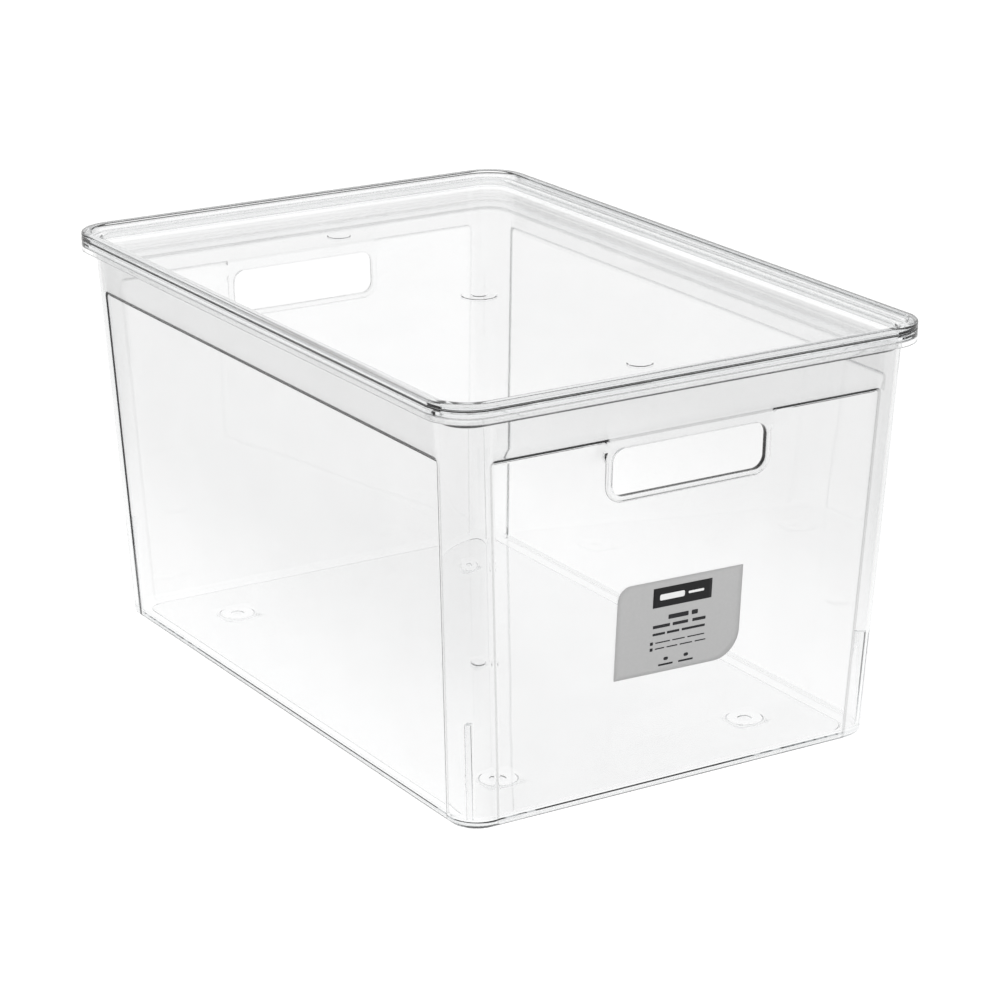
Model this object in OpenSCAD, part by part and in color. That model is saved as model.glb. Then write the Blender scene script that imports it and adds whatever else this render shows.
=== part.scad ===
// Clear storage box with a lift-off lid: a moulded tub, a moulded lid and a label.
// Millimetres. Z is up, Y runs along the box, the labelled end faces -Y.
// The origin is on the table, under the middle of the box.

/* [Overall] */
// Width over the rim
overall_w = 305; // [240:5:380]
// Length over the rim
overall_l = 445; // [360:5:600]
// Height with the lid on
overall_h = 240; // [160:5:320]
// Radius of the rim's four corners, seen from above
rim_corner_r = 25; // [22:1:32]

/* [Tub walls] */
// Thickness of the side walls
wall_t = 2; // [1.6:0.1:2.6]
// Thickness of the floor
floor_t = 2.4; // [2:0.1:3.2]
// How far each wall leans in from the rim to the floor
wall_lean = 11.5; // [6:0.5:15]
// Radius of the upright corners of the tub
wall_corner_r = 17; // [14:0.5:21]
// Height and width of the bevel between the walls and the base
base_bevel = 2.2; // [1.2:0.1:3]

/* [Rim of the tub] */
// How far the rim stands out past the walls
rim_overhang = 8; // [7:0.5:10]
// Height of the rim's down-turned skirt, with its lip
rim_skirt_h = 7.3; // [6:0.1:12]
// Thickness of the skirt and its lip
rim_skirt_t = 2; // [1.4:0.1:2.6]
// Height of the lip that stands above the rim's ledge
rim_lip_h = 2; // [1.2:0.1:3]
// Thickness of the ledge that carries the lid
rim_ledge_t = 2.2; // [1.6:0.1:3]

/* [Sunken wall panels] */
// Depth by which the panels are set back from the corner posts
panel_set = 1; // [0.5:0.1:1.4]
// Height of the plain band between the rim's ledge and the panels
band_h = 29; // [20:1:40]
// Width of each corner post, from the walls' meeting edge
post_w = 20; // [18:1:30]
// Radius of the panels' top corners
panel_corner_r = 8; // [3:1:14]

/* [Hand slots] */
// Width of the slot in each end wall
slot_w = 97; // [70:1:130]
// Height of the slot
slot_h = 26; // [20:1:34]
// Radius of the slot's corners
slot_corner_r = 7; // [3:0.5:10]
// Distance from the band's lower edge down to the slot
slot_drop = 6.5; // [4:0.5:14]
// Width of the frame round the slot
slot_frame_w = 3.2; // [2:0.1:5]
// Depth of the frame, from its outer face inwards
slot_frame_t = 4; // [3.4:0.1:6]

/* [Corner stacking ribs] */
// Thickness of the rib in each corner
rib_t = 2.8; // [2:0.1:4]
// Height of the ribs above the table
rib_top = 60; // [40:1:80]
// How far a rib's upright edge stands off the wall at the floor
rib_foot = 1; // [0.5:0.1:3]

/* [Base] */
// Width of the ring that the tub stands on
ring_w = 10; // [6:0.5:16]
// Height of the ring and the four feet
ring_h = 1; // [0.6:0.1:1.2]
// Diameter of each foot
foot_d = 21; // [14:1:30]
// Distance from the base's sides to the middle of each foot
foot_inset = 51.5; // [30:0.5:60]
// Diameter of the moulding mark in the middle of the floor
floor_mark_d = 14; // [8:1:24]
// Height of the moulding marks
mark_h = 0.5; // [0.3:0.1:0.8]

/* [Lid] */
// Thickness of the lid's sheet
lid_t = 2; // [1.6:0.1:2.6]
// Width of the raised ridge round the lid's edge
ridge_w = 5.2; // [4.8:0.1:6]
// Height of the ridge above the lid's seat
ridge_h = 3.7; // [3.2:0.1:5]
// Width of the slope from the ridge down to the seat
ridge_slope_w = 1.6; // [1:0.1:2.2]
// Radius of the ridge's outer top edge
ridge_edge_r = 1.2; // [0.6:0.1:1.8]
// Gap between the lid's edge and the lip of the tub
lid_edge_gap = 0.3; // [0.2:0.1:0.6]
// Depth of the lid's sunken panel below its seat
lid_well = 10; // [6:0.5:16]
// Radius of the edge where the seat turns down into the well
lid_well_edge_r = 1.2; // [0.6:0.1:1.6]
// Clearance between the lid's well and the tub's walls
lid_clear = 0.4; // [0.3:0.05:1]
// Diameter of the moulding mark in the middle of the lid
lid_mark_d = 20.5; // [12:0.5:30]
// Diameter of the raised button within that mark
lid_button_d = 9; // [5:0.5:11]
// Diameter of the two small round marks near the lid's ends
lid_dot_d = 14; // [8:1:20]
// Distance from the well's ends to those marks
lid_dot_inset = 46; // [30:1:80]

/* [Label] */
// Width of the label
label_w = 80; // [40:1:110]
// Height of the label
label_h = 53; // [30:1:80]
// Thickness of the label
label_t = 0.3; // [0.2:0.1:0.5]
// Height of the label's lower edge above the table, along the wall
label_z = 68; // [30:1:90]
// Sideways shift of the label from the middle
label_shift = -2.5; // [-20:0.5:20]
// Radius of the label's small rounded corner, top left
label_small_r = 8; // [3:1:12]
// Radius of the label's large rounded corner, bottom right
label_large_r = 16; // [8:1:20]

/* [Hidden] */
$fn = 64;
// Overlap that makes cuts run past a face and joined solids share volume
over = 1;
// Height of the thin slabs that the tapering walls are drawn through
slab = 0.01;
// Rim, and the middles of its corner arcs
rim_half_w = overall_w / 2;
rim_half_l = overall_l / 2;
corner_x = rim_half_w - rim_corner_r;
corner_y = rim_half_l - rim_corner_r;
// Heights, from the ridge down: the lid's seat, the ledge that carries it, the lip and the panels
seat_top = overall_h - ridge_h;
ledge_top = seat_top - lid_t;
lip_top = ledge_top + rim_lip_h;
panel_top = ledge_top - band_h;
// Walls: they lean by wall_lean between the base bevel and the rim's ledge
wall_run = ledge_top - base_bevel;
lean_angle = atan(wall_lean / wall_run);
wall_slope_t = wall_t * cos(lean_angle);
top_half_w = rim_half_w - rim_overhang;
top_half_l = rim_half_l - rim_overhang;
base_half_w = top_half_w - wall_lean;
base_half_l = top_half_l - wall_lean;
// Inner wall at a height, as the distance in from the rim's outer edge
function wall_in(z) = rim_overhang + wall_t + wall_lean * (ledge_top - z) / wall_run;
// The lid's well starts clear of the wall at the well's own bottom
well_top = seat_top - lid_well;
well_bottom = well_top - lid_t;
well_out = wall_in(well_bottom) + lid_clear;
well_in = well_out + lid_t;
well_half_w = rim_half_w - well_in;
well_half_l = rim_half_l - well_in;
// Slot and panel, measured up the slope of the wall from the top of the bevel
function up_slope(z) = (z - base_bevel) / cos(lean_angle);
slot_top = panel_top - slot_drop;
slot_mid = up_slope(slot_top) - slot_h / 2;

// Rounded rectangle in the plane, centred
module rounded(half_x, half_y, r) {
    square([2 * (half_x - r), 2 * half_y], center = true);
    square([2 * half_x, 2 * (half_y - r)], center = true);
    for (sx = [-1, 1], sy = [-1, 1])
        translate([sx * (half_x - r), sy * (half_y - r)]) circle(r);
}

// Thin rounded slab at a height, used as a section of the tapering walls
module section(half_x, half_y, r, z) {
    translate([0, 0, z]) linear_extrude(slab) rounded(half_x, half_y, r);
}

// Sweeps a rim profile round the box. The profile's x is the distance in from the rim's outer edge
module rim_sweep() {
    for (k = [0:3]) {
        sx = (k == 0 || k == 3) ? 1 : -1;
        sy = k < 2 ? 1 : -1;
        translate([sx * corner_x, sy * corner_y, 0]) rotate([0, 0, 90 * k])
            rotate_extrude(angle = 90) translate([rim_corner_r, 0]) mirror([1, 0]) children();
    }
    for (s = [0, 180]) {
        rotate([0, 0, s]) translate([rim_half_w, corner_y, 0]) rotate([90, 0, 0])
            linear_extrude(2 * corner_y) mirror([1, 0]) children();
        rotate([0, 0, s + 90]) translate([rim_half_l, corner_x, 0]) rotate([90, 0, 0])
            linear_extrude(2 * corner_x) mirror([1, 0]) children();
    }
}

// Puts flat work on a wall's outer face: x along the wall, y up its slope, z outwards
module on_wall(half, turn) {
    rotate([0, 0, turn]) translate([0, -half, base_bevel]) rotate([90 + lean_angle, 0, 0]) children();
}

// Outline of a sunken panel, whose sides follow the corner posts
module panel_outline(base_half, r) {
    top = up_slope(panel_top);
    low = -base_bevel - over;
    lean = wall_lean / up_slope(ledge_top);
    side = base_half - post_w;
    polygon([[-side - low * lean, low], [side + low * lean, low],
             [side + (top - r) * lean, top - r], [-side - (top - r) * lean, top - r]]);
    translate([-side - (top - r) * lean + r, low])
        square([2 * (side + (top - r) * lean - r), top - low]);
    for (s = [-1, 1]) translate([s * (side + (top - r) * lean - r), top - r]) circle(r);
}

// Solid with the walls' outer or inner form, from the floor up to past the ledge
module tapered(inset, z0, bevel, z1) {
    lean_to = wall_lean * (z1 - base_bevel) / wall_run;
    hull() {
        section(base_half_w - inset - bevel, base_half_l - inset - bevel, wall_corner_r - inset - bevel, z0);
        section(base_half_w - inset, base_half_l - inset, wall_corner_r - inset, z0 + bevel);
        section(base_half_w - inset + lean_to, base_half_l - inset + lean_to, wall_corner_r - inset, z1 - slab);
    }
}

// Inner rib in one corner. Its inner edge is upright, so the leaning wall draws away from it
module corner_rib(sx, sy) {
    diagonal = norm([base_half_w - wall_corner_r, base_half_l - wall_corner_r]);
    lean = wall_lean * sqrt(2) / wall_run;
    mid = wall_corner_r - wall_t / 2;
    edge = wall_corner_r - wall_t - rib_foot;
    translate([sx * (base_half_w - wall_corner_r), sy * (base_half_l - wall_corner_r), 0])
        rotate([0, 0, atan2(sy, sx)]) rotate([90, 0, 0])
            translate([0, 0, -rib_t / 2]) linear_extrude(rib_t)
                polygon([[edge, floor_t - over], [mid + (floor_t - over) * lean, floor_t - over],
                         [mid + (rib_top - base_bevel) * lean, rib_top], [edge, rib_top]]);
}

// Rim of the tub: a ledge for the lid, an upstanding lip and a skirt
module tub_rim() {
    rim_sweep() {
        translate([0, lip_top - rim_skirt_h]) square([rim_skirt_t, rim_skirt_h]);
        translate([0, ledge_top - rim_ledge_t]) square([rim_overhang + wall_t / 2, rim_ledge_t]);
    }
}

// One moulding: floor, leaning walls, sunken panels, slots, ribs, rim and feet
module tub() color("gainsboro") {
    walls = [[base_half_l, base_half_w, 0], [base_half_w, base_half_l, 90],
             [base_half_l, base_half_w, 180], [base_half_w, base_half_l, 270]];
    difference() {
        union() {
            difference() {
                union() {
                    tapered(0, 0, base_bevel, ledge_top);
                    tub_rim();
                }
                tapered(wall_t, floor_t + ring_h, base_bevel, ledge_top + over);
                for (w = walls) on_wall(w[0], w[2])
                    translate([0, 0, -panel_set]) linear_extrude(panel_set + over)
                        panel_outline(w[1], panel_corner_r);
            }
            // The inner face stands in by the same step, so the wall keeps its thickness
            for (w = walls) on_wall(w[0], w[2]) intersection() {
                translate([0, 0, -panel_set - wall_slope_t])
                    linear_extrude(wall_slope_t) panel_outline(w[1], panel_corner_r);
                translate([-w[1], floor_t, -2 * wall_t - panel_set]) cube([2 * w[1], wall_run, 3 * wall_t]);
            }
            for (turn = [0, 180]) on_wall(base_half_l, turn)
                translate([0, slot_mid, -slot_frame_t]) linear_extrude(slot_frame_t) {
                    rounded(slot_w / 2 + slot_frame_w, slot_h / 2 + slot_frame_w,
                            slot_corner_r + slot_frame_w);
                    translate([-slot_w / 2 - slot_frame_w, 0])
                        square([slot_w + 2 * slot_frame_w, up_slope(panel_top) - slot_mid + over]);
                }
            for (sx = [-1, 1], sy = [-1, 1]) corner_rib(sx, sy);
            translate([0, 0, floor_t + ring_h - over]) cylinder(d = floor_mark_d, h = over + mark_h);
        }
        for (turn = [0, 180]) on_wall(base_half_l, turn)
            translate([0, slot_mid, -slot_frame_t - over]) linear_extrude(slot_frame_t + 2 * over)
                rounded(slot_w / 2, slot_h / 2, slot_corner_r);
        // Hollow under the floor, which leaves the ring and the four feet
        difference() {
            translate([0, 0, -over]) linear_extrude(ring_h + over)
                rounded(base_half_w - ring_w, base_half_l - ring_w, wall_corner_r - ring_w / 2);
            for (sx = [-1, 1], sy = [-1, 1])
                translate([sx * (base_half_w - foot_inset), sy * (base_half_l - foot_inset), -2 * over])
                    cylinder(d = foot_d, h = 2 * over + ring_h);
        }
    }
}

// Section of the lid's rim, from the outer edge to the well's wall
module lid_profile() {
    foot = ridge_w + ridge_slope_w;
    lift = lip_top + lid_edge_gap;
    translate([0, lift]) square([lid_t, overall_h - lift - ridge_edge_r]);
    translate([ridge_edge_r, overall_h - ridge_edge_r]) circle(ridge_edge_r);
    polygon([[ridge_edge_r, overall_h], [ridge_w, overall_h], [foot, seat_top], [foot, ledge_top],
             [ridge_w - lid_t / 2, ledge_top], [ridge_w - lid_t, overall_h - lid_t],
             [ridge_edge_r, overall_h - lid_t]]);
    translate([foot - over, ledge_top]) square([well_in - lid_well_edge_r - foot + over, lid_t]);
    translate([well_in - lid_well_edge_r, seat_top - lid_well_edge_r]) circle(lid_well_edge_r);
    translate([well_out, well_bottom]) square([lid_t, seat_top - lid_well_edge_r - well_bottom]);
}

// One moulding: ridge, seat, well and the panel at the bottom of the well
module lid() color("whitesmoke") {
    rim_sweep() lid_profile();
    translate([0, 0, well_bottom]) linear_extrude(lid_t)
        rounded(well_half_w + lid_t / 2, well_half_l + lid_t / 2, rim_corner_r - well_in + lid_t / 2);
    translate([0, 0, well_bottom]) cylinder(d = lid_mark_d, h = lid_t + mark_h / 2);
    translate([0, 0, well_bottom]) cylinder(d = lid_button_d, h = lid_t + mark_h);
    for (s = [-1, 1]) translate([0, s * (well_half_l - lid_dot_inset), well_bottom])
        cylinder(d = lid_dot_d, h = lid_t + mark_h / 2);
}

// Self-adhesive label on the sunken panel of the front wall
module label() color("silver") {
    on_wall(base_half_l, 0)
        translate([label_shift, up_slope(label_z) + label_h / 2, -panel_set])
            linear_extrude(label_t) {
                translate([-label_w / 2 + label_small_r, -label_h / 2])
                    square([label_w - label_small_r - label_large_r, label_h]);
                translate([-label_w / 2, -label_h / 2]) square([label_w / 2, label_h - label_small_r]);
                translate([0, -label_h / 2 + label_large_r]) square([label_w / 2, label_h - label_large_r]);
                translate([-label_w / 2 + label_small_r, label_h / 2 - label_small_r])
                    circle(label_small_r);
                translate([label_w / 2 - label_large_r, -label_h / 2 + label_large_r])
                    circle(label_large_r);
            }
}

tub();
lid();
label();
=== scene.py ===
import math

import bpy
import numpy as np
from mathutils import Matrix, Vector


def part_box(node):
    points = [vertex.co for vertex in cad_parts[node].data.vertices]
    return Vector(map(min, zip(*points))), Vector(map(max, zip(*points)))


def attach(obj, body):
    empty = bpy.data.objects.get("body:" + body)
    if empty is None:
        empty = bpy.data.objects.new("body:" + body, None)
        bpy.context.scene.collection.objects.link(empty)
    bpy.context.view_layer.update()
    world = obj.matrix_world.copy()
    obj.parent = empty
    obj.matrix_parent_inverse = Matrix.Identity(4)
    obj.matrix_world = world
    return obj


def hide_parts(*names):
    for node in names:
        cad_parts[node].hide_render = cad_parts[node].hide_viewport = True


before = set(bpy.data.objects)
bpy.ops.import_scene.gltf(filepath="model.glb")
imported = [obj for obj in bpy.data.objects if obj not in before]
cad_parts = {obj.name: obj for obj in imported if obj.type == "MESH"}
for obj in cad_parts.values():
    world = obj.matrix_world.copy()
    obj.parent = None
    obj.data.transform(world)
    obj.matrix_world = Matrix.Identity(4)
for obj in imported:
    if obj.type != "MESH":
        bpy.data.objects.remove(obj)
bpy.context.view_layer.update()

# Camera. A long lens stands 1.9 m away and a little above the lid, as for the photograph. Its place
# was fitted to the box's own rim, base and wall lines.
CAMERA_AIM = Vector((-0.01605, -0.04797, 0.120))
CAMERA_DISTANCE = 1.93026
CAMERA_TURN, CAMERA_RISE, CAMERA_ROLL = (math.radians(a) for a in (-31.63, 18.465, -0.174))
CAMERA_LENS = 123.13

back = Vector((math.sin(CAMERA_TURN) * math.cos(CAMERA_RISE),
               -math.cos(CAMERA_TURN) * math.cos(CAMERA_RISE), math.sin(CAMERA_RISE)))
level = Vector((math.cos(CAMERA_TURN), math.sin(CAMERA_TURN), 0))
upright = back.cross(level)
right = level * math.cos(CAMERA_ROLL) + upright * math.sin(CAMERA_ROLL)
camera = bpy.data.objects.new("camera", bpy.data.cameras.new("camera"))
camera.data.lens = CAMERA_LENS
camera.matrix_world = Matrix((right, back.cross(right), back)).transposed().to_4x4()
camera.location = CAMERA_AIM + back * CAMERA_DISTANCE
bpy.context.scene.collection.objects.link(camera)
bpy.context.scene.camera = camera

# Studio. A white sweep on all sides and a soft lamp overhead. Clear plastic shows only what it bends towards the eye;
# bent or mirrored rays read the sky from a ramp by height whose ring between two heights is set to ROOM_DARK, here
# white, so the room draws no dark edges.
ROOM_DARK_FROM, ROOM_DARK_TO = 0.42, 0.72
ROOM_DARK = 1.0
FLOOR_SHADOW_SHARE = 0.05
TABLE_GLOW = 1.12


def link(tree, source, target):
    """Joins an output socket to an input socket of the same node tree."""
    tree.links.new(source, target)


def light_world():
    """World: white to the eye, and for bent or mirrored rays a ramp by height whose ring between two heights is set to
    ROOM_DARK, here as white as the rest.
    """
    world = bpy.data.worlds.new("studio")
    world.use_nodes = True
    tree = world.node_tree
    tree.nodes.clear()
    out = tree.nodes.new("ShaderNodeOutputWorld")
    path = tree.nodes.new("ShaderNodeLightPath")
    place = tree.nodes.new("ShaderNodeTexCoord")
    parts = tree.nodes.new("ShaderNodeSeparateXYZ")
    link(tree, place.outputs["Generated"], parts.inputs[0])
    ring = tree.nodes.new("ShaderNodeValToRGB")
    stops = ring.color_ramp.elements
    stops[0].position, stops[0].color = ROOM_DARK_FROM - 0.04, (1, 1, 1, 1)
    stops[1].position, stops[1].color = ROOM_DARK_FROM, (ROOM_DARK, ROOM_DARK, ROOM_DARK, 1)
    for place_at, grey in ((ROOM_DARK_TO, ROOM_DARK), (ROOM_DARK_TO + 0.05, 1)):
        stop = stops.new(place_at)
        stop.color = (grey, grey, grey, 1)
    link(tree, parts.outputs["Z"], ring.inputs[0])
    bent = tree.nodes.new("ShaderNodeMath")
    bent.operation = "MAXIMUM"
    link(tree, path.outputs["Is Glossy Ray"], bent.inputs[0])
    link(tree, path.outputs["Is Transmission Ray"], bent.inputs[1])
    room = tree.nodes.new("ShaderNodeBackground")
    link(tree, ring.outputs[0], room.inputs["Color"])
    white = tree.nodes.new("ShaderNodeBackground")
    white.inputs["Color"].default_value = (1, 1, 1, 1)
    mix = tree.nodes.new("ShaderNodeMixShader")
    link(tree, bent.outputs[0], mix.inputs[0])
    link(tree, white.outputs[0], mix.inputs[1])
    link(tree, room.outputs[0], mix.inputs[2])
    link(tree, mix.outputs[0], out.inputs["Surface"])
    bpy.context.scene.world = world


def floor_finish():
    """White table: white to the eye and through the plastic, less a share of the soft shadow under the box."""
    finish = bpy.data.materials.new("white_table")
    finish.use_nodes = True
    tree = finish.node_tree
    tree.nodes.clear()
    out = tree.nodes.new("ShaderNodeOutputMaterial")
    lit = tree.nodes.new("ShaderNodeBsdfDiffuse")
    lit.inputs["Color"].default_value = (0.95, 0.95, 0.95, 1)
    white = tree.nodes.new("ShaderNodeEmission")
    white.inputs["Strength"].default_value = TABLE_GLOW
    path = tree.nodes.new("ShaderNodeLightPath")
    seen = tree.nodes.new("ShaderNodeMath")
    seen.operation = "SUBTRACT"
    seen.use_clamp = True
    seen.inputs[0].default_value = 1 - FLOOR_SHADOW_SHARE
    link(tree, path.outputs["Is Diffuse Ray"], seen.inputs[1])
    mix = tree.nodes.new("ShaderNodeMixShader")
    link(tree, seen.outputs[0], mix.inputs[0])
    link(tree, lit.outputs[0], mix.inputs[1])
    link(tree, white.outputs[0], mix.inputs[2])
    link(tree, mix.outputs[0], out.inputs["Surface"])
    return finish


def lay_floor(size):
    """Flat square table, centred under the box."""
    table = bpy.data.meshes.new("table")
    table.from_pydata([(-size, -size, 0), (size, -size, 0), (size, size, 0), (-size, size, 0)], [], [(0, 1, 2, 3)])
    table.materials.append(floor_finish())
    floor = bpy.data.objects.new("table", table)
    bpy.context.scene.collection.objects.link(floor)


def hang_lamp(name, place, size, power):
    """Square soft lamp, turned to the middle of the box."""
    lamp = bpy.data.lights.new(name, "AREA")
    lamp.size, lamp.energy = size, power
    held = bpy.data.objects.new(name, lamp)
    held.location = place
    held.rotation_euler = (Vector((0, 0, 0.12)) - Vector(place)).to_track_quat("-Z", "Y").to_euler()
    held.visible_camera = held.visible_glossy = held.visible_transmission = False
    bpy.context.scene.collection.objects.link(held)


light_world()
lay_floor(8.0)
hang_lamp("overhead_lamp", (-0.4, -0.5, 2.2), 1.6, 8.0)
bpy.context.scene.view_settings.view_transform = "Standard"
bpy.context.scene.cycles.max_bounces = 40
bpy.context.scene.cycles.transmission_bounces = 40
bpy.context.scene.cycles.glossy_bounces = 24

# Tub. One clear injection moulding, polished in the mould. Its leaning walls carry a turned-out rim,
# sunken panels, a framed slot at each end, four inner corner ribs and a base ring with four feet.
MM = 0.001
STEP = 0.45                      # half the width over which a moulded step turns over
POST_STEP = 2.2                  # the same for the gentler ramps at the corner posts
RIM_R = 25.0
LIP_H, SKIRT_H, SKIRT_T, LEDGE_T = 2.0, 7.3, 2.0, 2.2
PARTING, SHARP = 0.3, 0.5        # gap between the lid's edge and the lip, and the height of their sharp edges, which carry painted shade
EDGE_PAINTED_SHADE, UNDER_PAINTED_SHADE = 1.0, 0.6 # painted shade on the parting edges and in the ledge's inner corner under the skirt
# painted shade along the panel's top step and, less, down the side and end posts
STEP_PAINTED_SHADE, SIDE_POST_PAINTED_SHADE, END_POST_PAINTED_SHADE = 1.0, 0.96, 0.35
FAR_SHADE_SHARE = 0.3                  # share of that painted shade on the right and back walls, painted lighter there though their steps are moulded the same
# painted shade in the slot's rounded edge, and how much of the step's painted shade the slot's frame takes away
SLOT_PAINTED_SHADE, TONGUE_SHARE = 0.95, 0.6
SHADE_STRIP_MID, SHADE_STRIP_HALF = -0.275, 0.85   # painted shade strip along a step: its offset from the step's middle, out of the panel, and its half width
WALL_R, WALL_T, LEAN, BEVEL = 17.0, 2.0, 11.5, 2.2
FLOOR_T, RING_H, RING_W, RING_R = 2.4, 1.0, 10.0, 12.0
INNER_SET, INNER_DROP = 0.35, 1.8
PANEL_SET, BAND_H, POST_W, PANEL_R = 1.0, 29.0, 20.0, 3.0
SLOT_W, SLOT_H, SLOT_R, SLOT_DROP = 97.0, 26.0, 7.0, 6.5
FRAME_W, FRAME_T, SLOT_EDGE = 3.2, 4.0, 0.8
RIB_T, RIB_TOP, RIB_FOOT = 2.8, 60.0, 1.0
FOOT_R, FOOT_INSET, PIP_R, FLOOR_MARK_R, MARK_H = 10.5, 51.5, 4.0, 7.0, 0.5
WINDOW = 1.2                     # width of the flat strip kept round each slot before its edge is rounded

rim_half = np.array([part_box("tub")[1].x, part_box("tub")[1].y]) / MM
lip_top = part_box("tub")[1].z / MM
corner = rim_half - RIM_R        # middle of each rim corner's arc
ledge_top = lip_top - LIP_H
panel_top = ledge_top - BAND_H
base_centre = corner - LEAN      # middle of each corner's arc at the base
slot_mid = panel_top - SLOT_DROP - SLOT_H / 2
ARC_STEPS = np.tan(np.radians(9.0) * np.arange(5))    # where lines 9 degrees apart cross a square's side


def both(values):
    """The values with their negatives, in order."""
    return np.unique(np.round(np.concatenate([-np.asarray(values, float), values]), 4))


def step(distance, width=STEP):
    """Rounded step: 0 below -width, 1 above width, and a cubic turn-over between."""
    s = np.clip((distance / width + 1) / 2, 0, 1)
    return s * s * (3 - 2 * s)


def bend(p, q, near, far):
    """Bends square mesh lines into quarter circles about a corner's centre, from which p and q are measured
    outwards: (p, q) is scaled by its longer part over its length. The bend fades out from near to far."""
    longer, length = np.maximum(p, q), np.hypot(p, q)
    share = np.clip((far - longer) / (far - near), 0, 1)
    scale = np.where((p > 0) & (q > 0), 1 + (longer / np.maximum(length, 1e-9) - 1) * share, 1)
    return p * scale, q * scale


def past(p, q, r):
    """Signed distance to an outline with a rounded corner of radius r, p and q from the corner's centre."""
    return np.hypot(np.maximum(p, 0), np.maximum(q, 0)) + np.minimum(np.maximum(p, q), 0) - r


def bend_disc(x, y, x0, y0, near, far):
    """Bends square mesh lines round a point into circles."""
    p, q = bend(np.abs(x - x0), np.abs(y - y0), near, far)
    return x0 + np.sign(x - x0) * p, y0 + np.sign(y - y0) * q


class Loop:
    """Mesh columns round the box, anticlockwise from above, from the front wall's left end. A column's place
    in a row is weight * centre + shift + out * reach: centre is the row's corner centre, reach its distance
    out from there. kind is 0 on the end walls, 1 on the side walls and 2 in the corners."""

    def __init__(self, end_mid, side_mid, edge, angles):
        tangents = [((1, 0), (0, -1)), ((0, 1), (1, 0)), ((-1, 0), (0, 1)), ((0, -1), (-1, 0))]
        weight, shift, out, kind, mid, near_edge, grid = [], [], [], [], [], [], []
        for n, (along, outward) in enumerate(tangents):
            along, outward = np.array(along, float), np.array(outward, float)
            middle = np.asarray((end_mid, side_mid)[n % 2], float)
            share = np.concatenate([-np.ones(len(edge)), np.zeros(len(middle)), np.ones(len(edge))])
            fixed = np.concatenate([edge, middle, -edge[::-1]])
            weight.append(outward + share[:, None] * along)
            shift.append(fixed[:, None] * along)
            out.append(np.broadcast_to(outward, (len(share), 2)))
            kind.append(np.full(len(share), n % 2))
            mid.append(fixed)
            near_edge.append(share)
            turn = math.radians(90 * n - 90) + np.radians(angles)
            weight.append(np.broadcast_to(outward + along, (len(angles), 2)))
            shift.append(np.zeros((len(angles), 2)))
            out.append(np.c_[np.cos(turn), np.sin(turn)])
            kind.append(np.full(len(angles), 2))
            mid.append(np.asarray(angles) - 45)
            near_edge.append(np.full(len(angles), n))
        self.weight, self.shift, self.out = (np.concatenate(a) for a in (weight, shift, out))
        self.kind, self.mid, self.share = (np.concatenate(a) for a in (kind, mid, near_edge))
        self.count = len(self.kind)
        self.end_count, self.side_count = 2 * len(edge) + len(end_mid), 2 * len(edge) + len(side_mid)
        self.arc_count = len(angles)

    def along(self, centre):
        """Distance along each wall from its middle, for rows of corner centres (rows, 1, 2)."""
        return self.share * np.where(self.kind == 1, centre[..., 1], centre[..., 0]) + self.mid

    def place(self, centre, reach, z, slide=0.0):
        """Points (rows, columns, 3). slide moves a point along its wall."""
        z = np.broadcast_to(z, reach.shape)
        tangent = np.c_[-self.out[:, 1], self.out[:, 0]]
        xy = self.weight * centre + self.shift + self.out * reach[..., None]
        return np.concatenate([xy + tangent * np.broadcast_to(slide, reach.shape)[..., None], z[..., None]], 2)

    def floor_lines(self, centre):
        """x and y of the mesh lines that cross a floor, at one corner centre."""
        along = self.along(centre)
        return along[:self.end_count], along[self.end_count + self.arc_count:][:self.side_count]

    def floor_border(self, base):
        """For each column, the floor mesh's border vertex that it meets. Corner columns share one."""
        nx, ny = self.end_count, self.side_count
        ids = base + np.arange(nx * ny).reshape(nx, ny)
        sides = [ids[:, 0], ids[-1, :], ids[::-1, -1], ids[0, ::-1]]
        return np.concatenate([np.concatenate([s, np.full(self.arc_count, s[-1])]) for s in sides])


def band_faces(lower, upper):
    """Faces between two rings of vertex numbers (n,), closed. Where a ring repeats a vertex it is a triangle."""
    a, b, c, d = lower, np.roll(lower, -1), np.roll(upper, -1), upper
    quads = np.c_[a, b, c, d]
    return [q[np.r_[True, np.diff(q) != 0]] for q in quads]


def sheet_faces(ids):
    """Quads of a grid of vertex numbers (rows, columns), facing the way rows cross columns."""
    return np.stack([ids[:-1, :-1], ids[1:, :-1], ids[1:, 1:], ids[:-1, 1:]], -1).reshape(-1, 4)


def make_piece(name, points, faces, finish, body, dark=None):
    """Mesh piece in metres from points in millimetres, smooth shaded, riding on a body. dark is the painted shade at
    each point of a sharp edge, a dark line drawn in place of the plastic's refraction, kept as the mesh's own
    attribute."""
    mesh = bpy.data.meshes.new(name)
    kept, numbers = np.unique(np.concatenate(faces), return_inverse=True)
    numbers = np.split(numbers.ravel(), np.cumsum([len(f) for f in faces])[:-1])
    mesh.from_pydata((np.asarray(points)[kept] * MM).tolist(), [], [n.tolist() for n in numbers])
    if dark is not None:
        mesh.attributes.new("painted_edge_shade", "FLOAT", "POINT").data.foreach_set("value", dark[kept])
    mesh.polygons.foreach_set("use_smooth", [True] * len(mesh.polygons))
    mesh.materials.append(finish)
    piece = bpy.data.objects.new(name, mesh)
    bpy.context.scene.collection.objects.link(piece)
    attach(piece, body)
    return piece


def quarter(start, corner_at, end, steps=3):
    """Rounded corner of a profile: a quadratic curve from start to end that leans to corner_at."""
    t = np.linspace(0, 1, steps + 1)[:, None]
    a, b, c = (np.array(p, float) for p in (start, corner_at, end))
    return (1 - t) ** 2 * a + 2 * t * (1 - t) * b + t * t * c


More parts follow.
